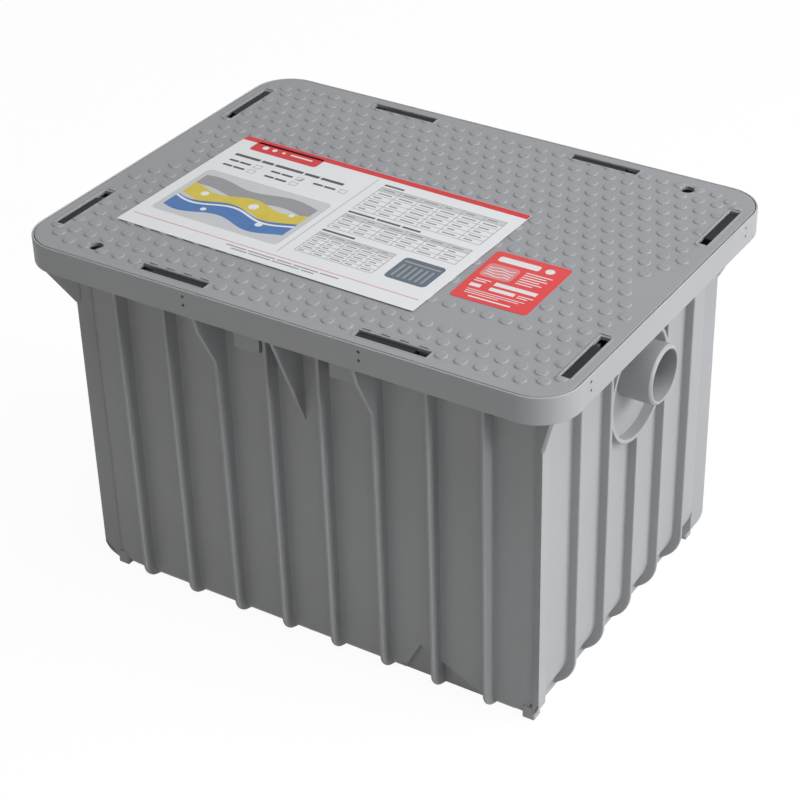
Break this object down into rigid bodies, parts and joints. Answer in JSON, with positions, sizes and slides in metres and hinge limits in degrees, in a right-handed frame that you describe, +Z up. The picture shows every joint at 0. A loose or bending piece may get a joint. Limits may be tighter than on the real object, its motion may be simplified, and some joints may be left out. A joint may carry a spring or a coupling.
{
  "type": "grease trap",
  "caption": "Floor-standing plastic grease trap: finned tub with a pipe spigot at each end, studded lift-off lid with sliding latches, and lift-out baffles inside.",
  "frame": {"origin": "middle of the footprint, on the floor that the tub stands on", "axes": "+X from the inlet end to the outlet end, +Y from front to back, +Z up"},
  "size_m": [0.57, 0.424, 0.3874],
  "materials": {
    "tub_plastic": "fine moulded grain",
    "lid_plastic": "fine moulded grain",
    "latch_plastic": "satin",
    "gasket_rubber": "matt",
    "baffle_plastic": "fine moulded grain",
    "label_paper": "coated paper",
    "sticker_film": "satin film"
  },
  "bodies": {
    "tub": {"tub": "tub_plastic", "lid_gasket": "gasket_rubber", "inlet_baffle": "baffle_plastic", "outlet_baffle": "baffle_plastic"},
    "lid": {"lid": "lid_plastic", "info_label": "label_paper", "rating_sticker": "sticker_film"},
    "latch_front_left": {"latch_front_left": "latch_plastic"},
    "latch_front_right": {"latch_front_right": "latch_plastic"},
    "latch_back_left": {"latch_back_left": "latch_plastic"},
    "latch_back_right": {"latch_back_right": "latch_plastic"},
    "latch_left_front": {"latch_left_front": "latch_plastic"},
    "latch_left_back": {"latch_left_back": "latch_plastic"},
    "latch_right_front": {"latch_right_front": "latch_plastic"},
    "latch_right_back": {"latch_right_back": "latch_plastic"}
  },
  "joints": [
    {"name": "lid_lift", "type": "slide", "parent": "tub", "child": "lid", "axis": [0, 0, 1], "range_m": [0, 0.15]},
    {"name": "latch_front_left_slide", "type": "slide", "parent": "lid", "child": "latch_front_left", "axis": [-1, 0, 0], "range_m": [0, 0.013]},
    {"name": "latch_front_right_slide", "type": "slide", "parent": "lid", "child": "latch_front_right", "axis": [1, 0, 0], "range_m": [0, 0.013]},
    {"name": "latch_back_left_slide", "type": "slide", "parent": "lid", "child": "latch_back_left", "axis": [-1, 0, 0], "range_m": [0, 0.013]},
    {"name": "latch_back_right_slide", "type": "slide", "parent": "lid", "child": "latch_back_right", "axis": [1, 0, 0], "range_m": [0, 0.013]},
    {"name": "latch_left_front_slide", "type": "slide", "parent": "lid", "child": "latch_left_front", "axis": [0, 1, 0], "range_m": [0, 0.013]},
    {"name": "latch_left_back_slide", "type": "slide", "parent": "lid", "child": "latch_left_back", "axis": [0, -1, 0], "range_m": [0, 0.013]},
    {"name": "latch_right_front_slide", "type": "slide", "parent": "lid", "child": "latch_right_front", "axis": [0, 1, 0], "range_m": [0, 0.013]},
    {"name": "latch_right_back_slide", "type": "slide", "parent": "lid", "child": "latch_right_back", "axis": [0, -1, 0], "range_m": [0, 0.013]}
  ]
}
